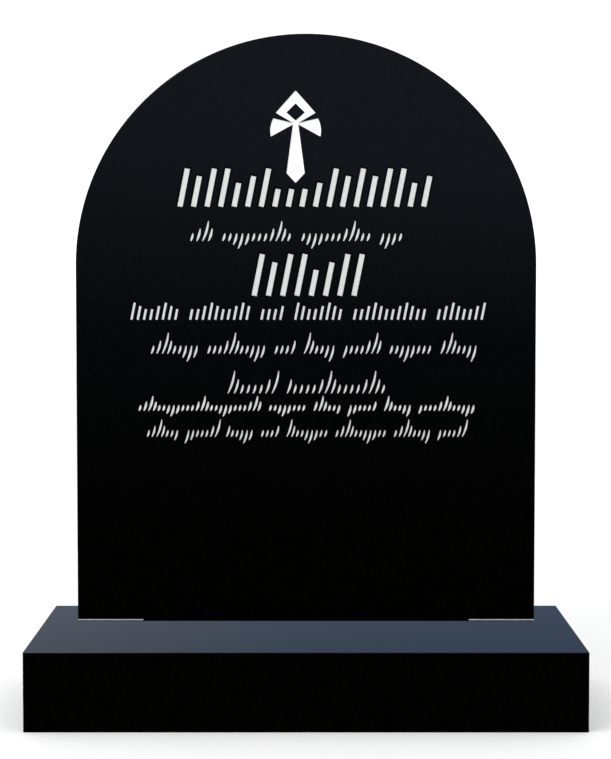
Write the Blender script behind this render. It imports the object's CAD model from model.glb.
"""Dresses the headstone and its base in polished black granite, with the carving painted white."""

import math
from collections import namedtuple
from itertools import cycle, islice

import bmesh
import bpy
from bpy.props import FloatProperty, FloatVectorProperty, IntProperty, PointerProperty
from mathutils import Matrix, Vector


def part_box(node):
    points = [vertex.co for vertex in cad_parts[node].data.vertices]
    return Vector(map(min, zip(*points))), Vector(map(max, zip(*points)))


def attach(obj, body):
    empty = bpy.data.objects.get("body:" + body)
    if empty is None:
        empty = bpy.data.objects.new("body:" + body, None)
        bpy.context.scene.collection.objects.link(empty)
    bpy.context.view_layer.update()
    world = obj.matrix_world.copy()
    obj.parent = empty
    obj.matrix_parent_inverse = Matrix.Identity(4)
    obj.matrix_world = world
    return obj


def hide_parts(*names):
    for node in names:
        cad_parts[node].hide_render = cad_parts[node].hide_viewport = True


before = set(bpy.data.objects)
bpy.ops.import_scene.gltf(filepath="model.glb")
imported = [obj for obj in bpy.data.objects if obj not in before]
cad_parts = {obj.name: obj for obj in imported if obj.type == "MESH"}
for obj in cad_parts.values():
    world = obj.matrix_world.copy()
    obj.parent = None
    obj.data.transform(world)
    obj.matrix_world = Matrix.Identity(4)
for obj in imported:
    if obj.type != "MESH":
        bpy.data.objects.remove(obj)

bl_info = {
    "name": "Granite Headstone",
    "version": (1, 0, 0),
    "blender": (4, 5, 0),
    "location": "3D View > Sidebar > Headstone",
    "description": "A round-topped granite headstone on its base, carved and painted",
    "category": "Add Mesh",
}

MM = 0.001
PLATE_LOW, PLATE_HIGH = (Vector(corner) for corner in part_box("headstone"))
BASE_LOW, BASE_HIGH = (Vector(corner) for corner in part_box("base"))
PLATE_SIZE = PLATE_HIGH - PLATE_LOW

# Outlines on the face are drawn flat, with X to the right and Y up from the plate's foot, and this
# stands them up
FACE_PLACE = (
    Matrix.Translation((0, PLATE_LOW.y, PLATE_LOW.z)) @ Matrix.Rotation(math.radians(90), 4, "X")
)


class GraniteSettings(bpy.types.PropertyGroup):
    colour: FloatVectorProperty(
        name="Colour",
        description="Colour of the polished granite between its flecks",
        default=(0.0002, 0.0002, 0.00022),
        size=3,
        min=0,
        max=1,
        subtype="COLOR",
    )
    polish: FloatProperty(
        name="Polish",
        description="Roughness of the polished faces, sides and tops",
        default=0.045,
        min=0,
        max=1,
        subtype="FACTOR",
    )


class PlateSettings(bpy.types.PropertyGroup):
    arris: FloatProperty(
        name="Arris",
        description="Width of the eased edge round the plate",
        default=1.0 * MM,
        min=0.2 * MM,
        unit="LENGTH",
    )
    arris_steps: IntProperty(
        name="Arris steps",
        description="Facets across the eased edge",
        default=3,
        min=1,
    )
    arch_steps: IntProperty(
        name="Arch steps",
        description="Facets round the half-round top",
        default=160,
        min=24,
    )


class CarvingSettings(bpy.types.PropertyGroup):
    letter_paint: FloatVectorProperty(
        name="Inscription paint",
        description="Colour of the paint in the strokes and the ruled lines",
        default=(0.62, 0.62, 0.62),
        size=3,
        min=0,
        max=1,
        subtype="COLOR",
    )
    emblem_paint: FloatVectorProperty(
        name="Emblem paint",
        description="Colour of the paint in the emblem",
        default=(0.88, 0.88, 0.88),
        size=3,
        min=0,
        max=1,
        subtype="COLOR",
    )
    shoulder: FloatProperty(
        name="Shoulder",
        description="Width of the bare wall round each painted stroke, as a share of its depth",
        default=1.0,
        min=0.1,
        max=1.1,
        subtype="FACTOR",
    )


class BaseSettings(bpy.types.PropertyGroup):
    arris: FloatProperty(
        name="Arris",
        description="Width of the eased edge round the base",
        default=0.6 * MM,
        min=0.2 * MM,
        unit="LENGTH",
    )
    arris_steps: IntProperty(
        name="Arris steps",
        description="Facets across the eased edge",
        default=3,
        min=1,
    )


class StageSettings(bpy.types.PropertyGroup):
    daylight: FloatProperty(
        name="Daylight",
        description="Strength of the white surround",
        default=1.25,
        min=0,
    )
    key_power: FloatProperty(
        name="Key power",
        description="Power of the softbox",
        default=22,
        min=0,
        unit="POWER",
    )


class HeadstoneSettings(bpy.types.PropertyGroup):
    granite: PointerProperty(type=GraniteSettings)
    plate: PointerProperty(type=PlateSettings)
    carving: PointerProperty(type=CarvingSettings)
    base: PointerProperty(type=BaseSettings)
    stage: PointerProperty(type=StageSettings)


# The inscription is plain strokes side by side at an even pitch. Each is its foot and its head as
# shares of the row's height.
FULL = (0.0, 1.0)
TALL = (0.0, 0.80)
LOW = (0.0, 0.62)
SHORT = (0.0, 0.38)
SINKING = (-0.19, 0.38)
HANGING = (-0.38, 0.38)
UNDER_EMBLEM = (0.0, 0.46)

# A hand is a run of strokes that share one lean of head over foot, as a share of the row's height,
# one bow to the left, as a share of each stroke's length and drawn in this many steps, and one
# swell, the share of its breadth that comes and goes along a stroke
Hand = namedtuple("Hand", "lean bow swell steps strokes")
BROAD_HAND = Hand(0.20, 0.0, 0.0, 1, (
    FULL, TALL, FULL, FULL, LOW, TALL, FULL, FULL, TALL, FULL, LOW, FULL, TALL,
))
SMALL_HAND = Hand(0.20, 0.0, 0.0, 1, (
    FULL, TALL, LOW, LOW, TALL, FULL, TALL, LOW, LOW, LOW, TALL,
))
QUILL_HAND = Hand(0.30, -0.05, 0.5, 8, (
    SHORT, LOW, FULL, LOW, SHORT, SHORT, SINKING, HANGING, SINKING, SHORT, SHORT,
))
LEVEL_HAND = Hand(0.30, -0.05, 0.5, 8, (
    FULL, LOW, SHORT, SHORT, SHORT, SHORT, LOW,
))

# Each row of the inscription: its words as numbers of strokes, its length as a share of the
# inscription's width, how far it stands off the plate's middle and below the crown, its height, and
# the breadth and depth of its strokes
Row = namedtuple("Row", "hand words length shift drop height weight depth")
ROWS = {
    "title": Row(
        BROAD_HAND, words=(19,), length=0.72, shift=-0.0005,
        drop=0.1983, height=0.0437, weight=0.0060, depth=0.0020,
    ),
    "opening": Row(
        QUILL_HAND, words=(4, 12, 12, 4), length=0.60, shift=-0.0095,
        drop=0.2380, height=0.0230, weight=0.0021, depth=0.0010,
    ),
    "large": Row(
        BROAD_HAND, words=(8,), length=0.32, shift=0.0025,
        drop=0.3012, height=0.0480, weight=0.0060, depth=0.0020,
    ),
    "middle": Row(
        SMALL_HAND, words=(8, 10, 4, 8, 12, 8), length=1.00, shift=0.0025,
        drop=0.3290, height=0.0196, weight=0.0026, depth=0.0012,
    ),
    "first verse": Row(
        QUILL_HAND, words=(9, 11, 4, 6, 7, 8, 7), length=0.92, shift=0.0110,
        drop=0.3684, height=0.0242, weight=0.0019, depth=0.0010,
    ),
    "second verse": Row(
        LEVEL_HAND, words=(8, 16), length=0.45, shift=0.0025,
        drop=0.4145, height=0.0260, weight=0.0019, depth=0.0010,
    ),
    "third verse": Row(
        QUILL_HAND, words=(26, 8, 6, 6, 6, 12), length=0.95, shift=0.0020,
        drop=0.4348, height=0.0170, weight=0.0021, depth=0.0010,
    ),
    "fourth verse": Row(
        QUILL_HAND, words=(7, 7, 6, 4, 9, 11, 8, 6), length=0.90, shift=0.0015,
        drop=0.4651, height=0.0200, weight=0.0017, depth=0.0010,
    ),
}

# The bare stone at each side of the longest row, and the gap between words in strokes' pitches
SIDE_MARGIN = 0.060
INSCRIPTION_WIDTH = PLATE_SIZE.x - 2 * SIDE_MARGIN
WORD_GAP = 1.4

# The emblem, a looped cross
EMBLEM_HEIGHT = 0.106
EMBLEM_DROP = 0.065
EMBLEM_SHIFT = -0.012
EMBLEM_DEPTH = 0.0020
EMBLEM_CLEARANCE = 0.004
ARM_END_STEPS = 16

# The emblem's right half, from its apex down, as shares of its height
LOOP_CORNER = (0.216, 0.758)
NOTCH = (0.026, 0.647)
ARM_TOP = (0.243, 0.698)
ARM_BOTTOM = (0.270, 0.501)
ARM_END_BOW = 0.085
ARMPIT = (0.029, 0.633)
SHAFT_CORNER = (0.099, 0.104)
LOOP_HOLE = ((0, 0.860), (-0.100, 0.762), (0, 0.674), (0.100, 0.762))

# The two ruled lines at the foot of the face, which run out to the plate's sides
RULE_LENGTH = 0.0765
RULE_WIDTH = 0.0013
RULE_RISE = 0.0010
RULE_DEPTH = 0.0006

# How far the cutters stand out of the face, and how far the lozenge's does, which cuts the emblem's
PROUD = 0.2 * MM
LOZENGE_PROUD = 2 * MM

# A prism to cut with: its outlines at the mouth and the floor, how deep it goes and how far it
# stands proud of the face, and the materials that it leaves on its walls and on its floor
Prism = namedtuple("Prism", "mouth floor depth proud wall paint")

# An edge that turns more than this is eased, and a face whose normal is this near an axis is flat
SHARP_ANGLE = math.radians(30)
SQUARE = 0.999

# Places in a stone's list of materials
POLISHED, HONED, SAWN, CUT_WALL, LETTER_PAINT, EMBLEM_PAINT = range(6)

CRYSTALS_PER_METRE = 700

# What the polished stone mirrors, as colours by the height of the direction that it looks in, from
# -1 straight down to 1 straight up. In front of the stone it is darkest low down.
FRONT_GLOW = (
    (-0.130, (0.006, 0.006, 0.002)),
    (-0.095, (0.018, 0.020, 0.017)),
    (-0.035, (0.043, 0.052, 0.060)),
    (0.055, (0.160, 0.197, 0.268)),
    (0.300, (0.200, 0.240, 0.320)),
)
ALL_ROUND = (
    (-1.000, (0.060, 0.065, 0.070)),
    (-0.200, (0.090, 0.100, 0.110)),
    (0.000, (0.140, 0.175, 0.235)),
    (0.165, (0.134, 0.180, 0.266)),
    (0.190, (0.113, 0.152, 0.226)),
    (0.300, (0.180, 0.220, 0.300)),
    (0.500, (0.330, 0.370, 0.450)),
    (1.000, (0.800, 0.830, 0.900)),
)
# Behind the stone the room is warmer and brighter to the left and cooler to the right, by these
# factors, which come in with the mirrored direction's Y
SIDE_TINT = (
    (-0.15, (1.72, 1.46, 1.23)),
    (0.00, (1.00, 1.00, 1.00)),
    (0.15, (0.84, 0.89, 0.96)),
)
TINT_STARTS, TINT_IS_WHOLE = 0.80, 0.94
# Where the room gives way to the glow in front, by the mirrored direction's Y
FRONT_STARTS, FRONT_IS_WHOLE = -0.80, -0.96
# The glow in front hangs to the right by this much, between these heights
GLOW_LEAN = 0.10
LEAN_STARTS, LEAN_IS_WHOLE = -0.04, 0.03

# The stage's floor and light
FLOOR_SIZE = 14
SOFTBOX_PLACE = (-1.5, -1.7, 2.3)
SOFTBOX_TARGET = (0, 0, 0.35)
SOFTBOX_SIZE = (1.6, 1.2)

# The camera, with its focal length in pixels of the photograph's height
CAMERA_PLACE = (-0.0006, -2.3835, 0.5106)
CAMERA_PITCH = math.radians(86.68)
FOCAL_PIXELS = 2093.7
PHOTO_HEIGHT = 759
SENSOR_HEIGHT = 36
VIEW_END = 50


def add_node(tree, kind, inputs):
    """A node with these inputs, each a plain value or the output that feeds it."""
    node = tree.nodes.new(kind)
    for name, value in inputs.items():
        if isinstance(value, bpy.types.NodeSocket):
            tree.links.new(value, node.inputs[name])
        else:
            node.inputs[name].default_value = value
    return node


def mapped(tree, source, low, high, result=(0, 1)):
    """A value that runs along the result while the source runs from low to high."""
    return add_node(tree, "ShaderNodeMapRange", {
        "Value": source,
        "From Min": low,
        "From Max": high,
        "To Min": result[0],
        "To Max": result[1],
    }).outputs["Result"]


def graded(tree, source, stops):
    """A colour for each value of the source, from (value, colour) stops in order."""
    low, high = stops[0][0], stops[-1][0]
    node = add_node(tree, "ShaderNodeValToRGB", {"Fac": mapped(tree, source, low, high)})
    elements = node.color_ramp.elements
    for value, _ in stops[1:-1]:
        elements.new((value - low) / (high - low))
    for element, (value, colour) in zip(elements, stops):
        element.position = (value - low) / (high - low)
        element.color = (*colour, 1)
    return node.outputs["Color"]


def noise(tree, place, scale, detail):
    """A soft random value at each place."""
    inputs = {"Vector": place, "Scale": scale, "Detail": detail}
    return add_node(tree, "ShaderNodeTexNoise", inputs).outputs["Fac"]


def crystals(tree, place):
    """A value of its own for each crystal in the stone."""
    inputs = {"Vector": place, "Scale": CRYSTALS_PER_METRE}
    cells = add_node(tree, "ShaderNodeTexVoronoi", inputs).outputs["Color"]
    return add_node(tree, "ShaderNodeSeparateColor", {"Color": cells}).outputs["Red"]


def add_bump(tree, shader, height, strength, distance):
    """Gives the surface a fine relief from this value."""
    inputs = {"Height": height, "Strength": strength, "Distance": distance}
    bump = add_node(tree, "ShaderNodeBump", inputs)
    tree.links.new(bump.outputs["Normal"], shader.inputs["Normal"])


def new_material(name):
    """A material, its nodes' tree, its shader and the place in the stone that its textures read."""
    material = bpy.data.materials.new(name)
    material.use_nodes = True
    tree = material.node_tree
    place = tree.nodes.new("ShaderNodeTexCoord").outputs["Object"]
    return material, tree, tree.nodes["Principled BSDF"], place


def polished_granite(name, colour, roughness):
    """Black granite polished to a mirror, with a few fine crystals that catch the light."""
    material, tree, shader, place = new_material(name)
    flecks = graded(tree, crystals(tree, place), (
        (0.90, colour),
        (1.00, (0.0022, 0.0024, 0.0028)),
    ))
    tree.links.new(flecks, shader.inputs["Base Color"])
    clouds = noise(tree, place, scale=9, detail=3)
    polish = mapped(tree, clouds, 0, 1, (0.8 * roughness, 1.2 * roughness))
    tree.links.new(polish, shader.inputs["Roughness"])
    return material


def honed_granite(name):
    """The same granite ground smooth but left dull and grey, for the side that faces away."""
    material, tree, shader, place = new_material(name)
    tones = graded(tree, crystals(tree, place), (
        (0.00, (0.006, 0.0065, 0.0075)),
        (0.85, (0.014, 0.0147, 0.0165)),
        (1.00, (0.034, 0.035, 0.038)),
    ))
    tree.links.new(tones, shader.inputs["Base Color"])
    shader.inputs["Roughness"].default_value = 0.34
    scratches = noise(tree, place, scale=900, detail=2)
    add_bump(tree, shader, scratches, strength=0.05, distance=0.2 * MM)
    return material


def sawn_granite(name):
    """The saw-cut underside, paler and ribbed by the blade."""
    material, tree, shader, place = new_material(name)
    inputs = {"Vector": place, "Scale": 60, "Distortion": 1.5, "Detail": 2}
    marks = add_node(tree, "ShaderNodeTexWave", inputs).outputs["Fac"]
    tones = graded(tree, marks, (
        (0.0, (0.055, 0.056, 0.060)),
        (1.0, (0.085, 0.086, 0.090)),
    ))
    tree.links.new(tones, shader.inputs["Base Color"])
    shader.inputs["Roughness"].default_value = 0.75
    add_bump(tree, shader, marks, strength=0.25, distance=0.3 * MM)
    return material


def bare_cut(name):
    """The blasted wall of a stroke, left unpainted."""
    material = bpy.data.materials.new(name)
    material.use_nodes = True
    shader = material.node_tree.nodes["Principled BSDF"]
    shader.inputs["Base Color"].default_value = (0.0006, 0.0006, 0.0006, 1)
    shader.inputs["Roughness"].default_value = 0.9
    shader.inputs["Specular IOR Level"].default_value = 0.1
    return material


def enamel_paint(name, colour):
    """White masonry paint on a blasted floor, a little uneven from the brush."""
    material, tree, shader, place = new_material(name)
    brush = noise(tree, place, scale=160, detail=3)
    tones = graded(tree, brush, (
        (0.3, [0.96 * part for part in colour]),
        (0.7, [min(1.04 * part, 1) for part in colour]),
    ))
    tree.links.new(tones, shader.inputs["Base Color"])
    shader.inputs["Roughness"].default_value = 0.5
    add_bump(tree, shader, brush, strength=0.15, distance=0.2 * MM)
    return material


def pale_floor(name):
    """The studio's plain matt floor."""
    material = bpy.data.materials.new(name)
    material.use_nodes = True
    shader = material.node_tree.nodes["Principled BSDF"]
    shader.inputs["Base Color"].default_value = (0.86, 0.86, 0.86, 1)
    shader.inputs["Roughness"].default_value = 0.8
    return material


def stone_finishes(name, granite):
    """The finishes of a stone's own faces, in the order of their places."""
    return [
        polished_granite(name + "_polished", granite.colour, granite.polish),
        honed_granite(name + "_honed"),
        sawn_granite(name + "_sawn"),
    ]


def carving_finishes(carving):
    """The finishes inside the carving, in the order of their places."""
    return [
        bare_cut("bare_cut"),
        enamel_paint("inscription_paint", carving.letter_paint),
        enamel_paint("emblem_paint", carving.emblem_paint),
    ]


def add_object(name, shape, materials):
    """An object in the scene made from this shape, which is used up."""
    mesh = bpy.data.meshes.new(name)
    shape.to_mesh(mesh)
    shape.free()
    for material in materials:
        mesh.materials.append(material)
    obj = bpy.data.objects.new(name, mesh)
    bpy.context.scene.collection.objects.link(obj)
    return obj


def mark_arrises(stone, width):
    """Marks the sharp edges for easing, but leaves the foot square, as it is bedded."""
    foot = min(vert.co.z for vert in stone.verts)
    eased = stone.edges.layers.float.new("bevel_weight_edge")
    for edge in stone.edges:
        above = max(vert.co.z for vert in edge.verts) > foot + width
        edge[eased] = float(above and edge.calc_face_angle() > SHARP_ANGLE)


def ease_arrises(obj, width, steps):
    """Rounds the marked edges."""
    bevel = obj.modifiers.new("arris", "BEVEL")
    bevel.width = width
    bevel.segments = steps
    bevel.limit_method = "WEIGHT"


def settle(obj):
    """Puts the modifiers' result in the mesh itself."""
    graph = bpy.context.evaluated_depsgraph_get()
    mesh = bpy.data.meshes.new_from_object(obj.evaluated_get(graph))
    if not mesh.polygons:
        raise RuntimeError(f"Nothing is left of {obj.name}, as when its cuts overlap")
    spent = obj.data
    obj.modifiers.clear()
    obj.data = mesh
    mesh.name = obj.name
    bpy.data.meshes.remove(spent)


def plate_outline(steps):
    """The foot's two corners, then the half-round top from right to left."""
    radius = PLATE_SIZE.x / 2
    spring = PLATE_SIZE.z - radius
    outline = [(-radius, 0), (radius, 0)]
    for step in range(steps + 1):
        turn = math.pi * step / steps
        outline.append((radius * math.cos(turn), spring + radius * math.sin(turn)))
    return outline


def plate_shape(steps):
    """The bare plate, with its face looking along -Y."""
    stone = bmesh.new()
    front = stone.faces.new([stone.verts.new((x, y, 0)) for x, y in plate_outline(steps)])
    grown = bmesh.ops.extrude_face_region(stone, geom=[front])
    back = [item for item in grown["geom"] if isinstance(item, bmesh.types.BMVert)]
    bmesh.ops.translate(stone, verts=back, vec=(0, 0, -PLATE_SIZE.y))
    bmesh.ops.recalc_face_normals(stone, faces=stone.faces)
    stone.transform(FACE_PLACE)
    return stone


def on_arc(start, end, bow, t):
    """A point of a shallow arc, and the way that the arc heads there.

    The arc is a parabola whose middle stands off its chord by the bow times the chord's length.
    """
    along = end - start
    across = Vector((-along.y, along.x))
    point = start + along * t + across * (4 * bow * t * (1 - t))
    heading = (along + across * (4 * bow * (1 - 2 * t))).normalized()
    return point, heading


def stroke_outline(foot, head, weight, hand, spread):
    """A band from foot to head, straight or bowed, and spread by this much on every side.

    Where the hand swells, its ends are finer and its middle broader, about the same weight.
    """
    left, right = [], []
    for step in range(hand.steps + 1):
        t = step / hand.steps
        centre, forward = on_arc(foot, head, hand.bow, t)
        if step == 0:
            centre = centre - forward * spread
        if step == hand.steps:
            centre = centre + forward * spread
        swelling = math.pi / 2 * math.sin(math.pi * t)
        breadth = weight * (1 - hand.swell + hand.swell * swelling) + 2 * spread
        side = Vector((-forward.y, forward.x)) * breadth / 2
        left.append(centre + side)
        right.append(centre - side)
    return right + left[::-1]


def clear_of_emblem(stroke, row, middle):
    """This stroke, or a shorter one where the emblem's foot comes down into the row."""
    half_stroke = (row.weight + row.hand.lean * row.height) / 2
    reach = SHAFT_CORNER[0] * EMBLEM_HEIGHT + half_stroke + EMBLEM_CLEARANCE
    below = row.drop - row.height > EMBLEM_DROP + EMBLEM_HEIGHT
    return stroke if below or abs(middle - EMBLEM_SHIFT) > reach else UNDER_EMBLEM


def strokes_of(row):
    """The foot and head of each stroke of a row, at an even pitch with gaps between its words."""
    pitch = row.length * INSCRIPTION_WIDTH / (sum(row.words) + WORD_GAP * (len(row.words) - 1))
    middle = row.shift - (row.length * INSCRIPTION_WIDTH - pitch) / 2
    baseline = PLATE_SIZE.z - row.drop
    strokes = cycle(row.hand.strokes)
    for word in row.words:
        for stroke in islice(strokes, word):
            ends = []
            for share in clear_of_emblem(stroke, row, middle):
                lean = row.hand.lean * (share - 0.5) * row.height
                ends.append(Vector((middle + lean, baseline + share * row.height)))
            yield ends
            middle += pitch
        middle += WORD_GAP * pitch


def row_prisms(row, shoulder):
    """A prism for each stroke, wider at the face than at its painted floor."""
    spread = shoulder * (row.depth + PROUD)
    for foot, head in strokes_of(row):
        mouth = stroke_outline(foot, head, row.weight, row.hand, spread)
        floor = stroke_outline(foot, head, row.weight, row.hand, 0)
        yield Prism(mouth, floor, row.depth, PROUD, CUT_WALL, LETTER_PAINT)


def straight_prism(outline, depth, proud, paint):
    """A prism with one outline from mouth to floor, painted all over."""
    return Prism(outline, outline, depth, proud, paint, paint)


def rule_prisms():
    """The two ruled lines, which start outside the plate so that each runs out of its side."""
    inner = PLATE_SIZE.x / 2 - RULE_LENGTH
    outer = PLATE_SIZE.x / 2 + RULE_WIDTH
    low, high = RULE_RISE, RULE_RISE + RULE_WIDTH
    for side in (-1, 1):
        near, far = side * inner, side * outer
        outline = [(near, low), (far, low), (far, high), (near, high)]
        yield straight_prism(outline, RULE_DEPTH, PROUD, LETTER_PAINT)


def emblem_outlines():
    """The looped cross in one outline, and the lozenge left standing in its loop."""
    arm_end = []
    for step in range(ARM_END_STEPS + 1):
        t = step / ARM_END_STEPS
        point, _ = on_arc(Vector(ARM_TOP), Vector(ARM_BOTTOM), ARM_END_BOW, t)
        arm_end.append(point)
    right = [LOOP_CORNER, NOTCH, *arm_end, ARMPIT, SHAFT_CORNER]
    left = [(-x, y) for x, y in reversed(right)]
    outline = [(0, 1), *right, (0, 0), *left]
    foot = PLATE_SIZE.z - EMBLEM_DROP - EMBLEM_HEIGHT

    def placed(points):
        return [(EMBLEM_SHIFT + x * EMBLEM_HEIGHT, foot + y * EMBLEM_HEIGHT) for x, y in points]

    return placed(outline), placed(LOOP_HOLE)


def add_prism(shape, prism):
    """Closes the prism from its mouth in front of the face to its floor inside the stone."""
    near = [shape.verts.new((x, y, prism.proud)) for x, y in prism.mouth]
    far = [shape.verts.new((x, y, -prism.depth)) for x, y in prism.floor]
    shape.faces.new(near)
    shape.faces.new(far[::-1]).material_index = prism.paint
    for index, vert in enumerate(near):
        after = (index + 1) % len(near)
        wall = shape.faces.new((vert, far[index], far[after], near[after]))
        wall.material_index = prism.wall


def carving_cutter(name, prisms, materials):
    """One cutter from all these prisms, stood up against the face."""
    shape = bmesh.new()
    for prism in prisms:
        add_prism(shape, prism)
    bmesh.ops.recalc_face_normals(shape, faces=shape.faces)
    shape.transform(FACE_PLACE)
    return add_object(name, shape, materials)


def cut(obj, cutter):
    """Takes the cutter out of the object, which gets the cutter's materials in the cut."""
    boolean = obj.modifiers.new("cut", "BOOLEAN")
    boolean.operation = "DIFFERENCE"
    boolean.object = cutter
    boolean.solver = "EXACT"
    boolean.material_mode = "TRANSFER"


def emblem_cutter(materials):
    """The emblem less the lozenge inside its loop."""
    outline, hole = emblem_outlines()
    cross_prism = straight_prism(outline, EMBLEM_DEPTH, PROUD, EMBLEM_PAINT)
    lozenge_prism = straight_prism(hole, 2 * EMBLEM_DEPTH, LOZENGE_PROUD, EMBLEM_PAINT)
    cross = carving_cutter("emblem_cut", [cross_prism], materials)
    lozenge = carving_cutter("lozenge", [lozenge_prism], materials)
    cut(cross, lozenge)
    settle(cross)
    bpy.data.objects.remove(lozenge)
    return cross


def face_finish(normal, upright):
    """The finish of a stone's face by the way it looks: only a plate's back is honed."""
    if normal.z < -SQUARE:
        return SAWN
    if upright and normal.y > SQUARE:
        return HONED
    return POLISHED


def is_flat(normal, upright):
    """Whether a stone's face is flat: a plate's sides aren't, because they run into the arch."""
    if upright:
        return abs(normal.y) > SQUARE or normal.z < -SQUARE
    return max(abs(part) for part in normal) > SQUARE


def finish_faces(obj, upright):
    """Gives the bare stone its finishes and smooths its curved and eased surfaces."""
    for face in obj.data.polygons:
        if face.material_index not in (CUT_WALL, LETTER_PAINT, EMBLEM_PAINT):
            face.material_index = face_finish(face.normal, upright)
            face.use_smooth = not is_flat(face.normal, upright)


class HEADSTONE_OT_plate(bpy.types.Operator):
    """Cut the upright plate, carve its face and paint the carving"""

    bl_idname = "headstone.plate"
    bl_label = "Carve the Plate"

    def execute(self, context):
        settings = context.scene.headstone
        materials = stone_finishes("plate", settings.granite) + carving_finishes(settings.carving)
        stone = plate_shape(settings.plate.arch_steps)
        mark_arrises(stone, settings.plate.arris)
        plate = add_object("headstone_plate", stone, materials)
        ease_arrises(plate, settings.plate.arris, settings.plate.arris_steps)
        prisms = []
        for row in ROWS.values():
            prisms.extend(row_prisms(row, settings.carving.shoulder))
        prisms.extend(rule_prisms())
        cutters = [carving_cutter("inscription_cut", prisms, materials), emblem_cutter(materials)]
        for cutter in cutters:
            cut(plate, cutter)
        settle(plate)
        for cutter in cutters:
            bpy.data.objects.remove(cutter)
        finish_faces(plate, True)
        plate.visible_glossy = False
        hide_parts("headstone")
        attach(plate, "root")
        return {"FINISHED"}


class HEADSTONE_OT_base(bpy.types.Operator):
    """Cut and polish the base that the plate stands on"""

    bl_idname = "headstone.base"
    bl_label = "Cut the Base"

    def execute(self, context):
        settings = context.scene.headstone
        stone = bmesh.new()
        bmesh.ops.create_cube(stone, size=1)
        bmesh.ops.scale(stone, vec=BASE_HIGH - BASE_LOW, verts=stone.verts)
        bmesh.ops.translate(stone, vec=(BASE_HIGH + BASE_LOW) / 2, verts=stone.verts)
        mark_arrises(stone, settings.base.arris)
        base = add_object("headstone_base", stone, stone_finishes("base", settings.granite))
        ease_arrises(base, settings.base.arris, settings.base.arris_steps)
        settle(base)
        finish_faces(base, False)
        base.visible_glossy = False
        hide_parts("base")
        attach(base, "root")
        return {"FINISHED"}


def mixed(tree, blend, factor, first, second):
    """The first colour, blended with the second as far as the factor says."""
    node = tree.nodes.new("ShaderNodeMix")
    node.data_type = "RGBA"
    node.blend_type = blend
    factor_in, first_in, second_in = (socket for socket in node.inputs if socket.enabled)
    tree.links.new(factor, factor_in)
    tree.links.new(first, first_in)
    tree.links.new(second, second_in)
    return next(socket for socket in node.outputs if socket.enabled)


def studio_surround(world, daylight):
    """White to the camera and on matt surfaces, while polished stone mirrors a dim blue studio."""
    world.use_nodes = True
    tree = world.node_tree
    white = tree.nodes["Background"]
    white.inputs["Color"].default_value = (1, 1, 1, 1)
    white.inputs["Strength"].default_value = daylight
    direction = tree.nodes.new("ShaderNodeTexCoord").outputs["Generated"]
    x, y, z = add_node(tree, "ShaderNodeSeparateXYZ", {"Vector": direction}).outputs
    lean = mapped(tree, z, LEAN_STARTS, LEAN_IS_WHOLE, (0, GLOW_LEAN))
    leaning = add_node(tree, "ShaderNodeMath", {0: x, 1: lean, 2: z})
    leaning.operation = "MULTIPLY_ADD"
    glow = graded(tree, leaning.outputs["Value"], FRONT_GLOW)
    behind = mapped(tree, y, TINT_STARTS, TINT_IS_WHOLE)
    room = mixed(tree, "MULTIPLY", behind, graded(tree, z, ALL_ROUND), graded(tree, x, SIDE_TINT))
    in_front = mapped(tree, y, FRONT_STARTS, FRONT_IS_WHOLE)
    mirrored = mixed(tree, "MIX", in_front, room, glow)
    studio = add_node(tree, "ShaderNodeBackground", {"Color": mirrored})
    either = add_node(tree, "ShaderNodeMixShader", {
        "Fac": tree.nodes.new("ShaderNodeLightPath").outputs["Is Glossy Ray"],
        1: white.outputs["Background"],
        2: studio.outputs["Background"],
    })
    tree.links.new(either.outputs["Shader"], tree.nodes["World Output"].inputs["Surface"])


def add_softbox(name, power):
    """A broad soft light from above and to the left of the camera."""
    light = bpy.data.lights.new(name, "AREA")
    light.shape = "RECTANGLE"
    light.size, light.size_y = SOFTBOX_SIZE
    light.energy = power
    softbox = bpy.data.objects.new(name, light)
    softbox.location = SOFTBOX_PLACE
    aim = Vector(SOFTBOX_TARGET) - Vector(SOFTBOX_PLACE)
    softbox.rotation_euler = aim.to_track_quat("-Z", "Y").to_euler()
    bpy.context.scene.collection.objects.link(softbox)


def add_camera(name):
    """The camera, where the photograph was taken from."""
    lens = bpy.data.cameras.new(name)
    lens.sensor_fit = "VERTICAL"
    lens.sensor_height = SENSOR_HEIGHT
    lens.lens = FOCAL_PIXELS / PHOTO_HEIGHT * SENSOR_HEIGHT
    lens.clip_end = VIEW_END
    camera = bpy.data.objects.new(name, lens)
    camera.location = CAMERA_PLACE
    camera.rotation_euler = (CAMERA_PITCH, 0, 0)
    bpy.context.scene.collection.objects.link(camera)
    return camera


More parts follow.
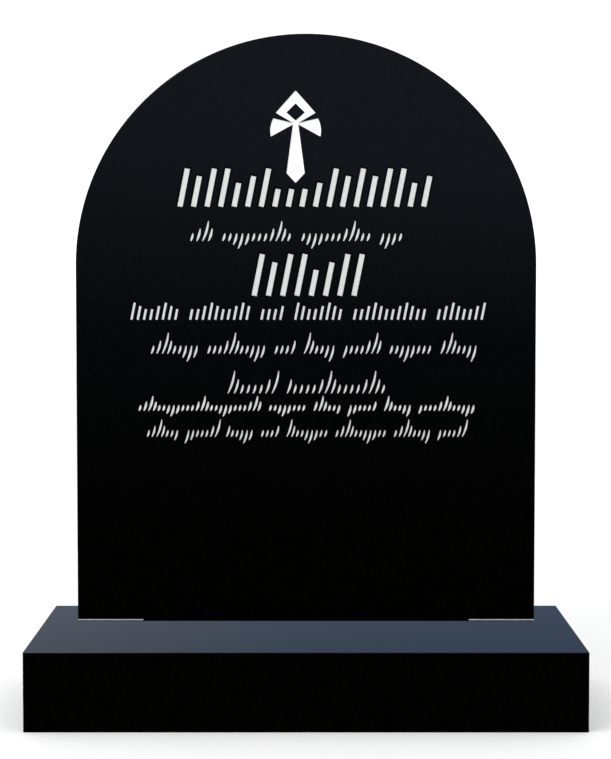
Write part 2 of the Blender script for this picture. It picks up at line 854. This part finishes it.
class HEADSTONE_OT_stage(bpy.types.Operator):
    """Lay the pale floor, hang the light and set the camera"""

    bl_idname = "headstone.stage"
    bl_label = "Set the Stage"

    def execute(self, context):
        settings = context.scene.headstone.stage
        bpy.ops.mesh.primitive_plane_add(size=FLOOR_SIZE, location=(0, 0, BASE_LOW.z))
        floor = context.object
        floor.name = "floor"
        floor.data.materials.append(pale_floor("floor"))
        floor.visible_glossy = False
        context.scene.world = bpy.data.worlds.new("surround")
        studio_surround(context.scene.world, settings.daylight)
        add_softbox("key", settings.key_power)
        context.scene.view_settings.view_transform = "Standard"
        context.scene.camera = add_camera("camera")
        return {"FINISHED"}


# Each step's operator, with the groups of settings that the panel shows above it
STEPS = (
    (HEADSTONE_OT_plate, ("granite", "plate", "carving")),
    (HEADSTONE_OT_base, ("base",)),
    (HEADSTONE_OT_stage, ("stage",)),
)


class HEADSTONE_PT_tools(bpy.types.Panel):
    """The steps of making the headstone, in order"""

    bl_idname = "HEADSTONE_PT_tools"
    bl_label = "Granite Headstone"
    bl_space_type = "VIEW_3D"
    bl_region_type = "UI"
    bl_category = "Headstone"

    def draw(self, context):
        settings = context.scene.headstone
        for operator, groups in STEPS:
            box = self.layout.box()
            for group in groups:
                chosen = getattr(settings, group)
                for name in chosen.__annotations__:
                    box.prop(chosen, name)
            box.operator(operator.bl_idname)


CLASSES = (
    GraniteSettings, PlateSettings, CarvingSettings, BaseSettings, StageSettings, HeadstoneSettings,
    HEADSTONE_OT_plate, HEADSTONE_OT_base, HEADSTONE_OT_stage, HEADSTONE_PT_tools,
)


def register():
    """Registers the classes and gives the scene its settings."""
    for cls in CLASSES:
        bpy.utils.register_class(cls)
    bpy.types.Scene.headstone = PointerProperty(type=HeadstoneSettings)


def unregister():
    """Takes back what register did."""
    del bpy.types.Scene.headstone
    for cls in reversed(CLASSES):
        bpy.utils.unregister_class(cls)


def main():
    """Makes the headstone and its stage."""
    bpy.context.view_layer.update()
    register()
    bpy.ops.headstone.plate()
    bpy.ops.headstone.base()
    bpy.ops.headstone.stage()


if __name__ == "__main__":
    main()
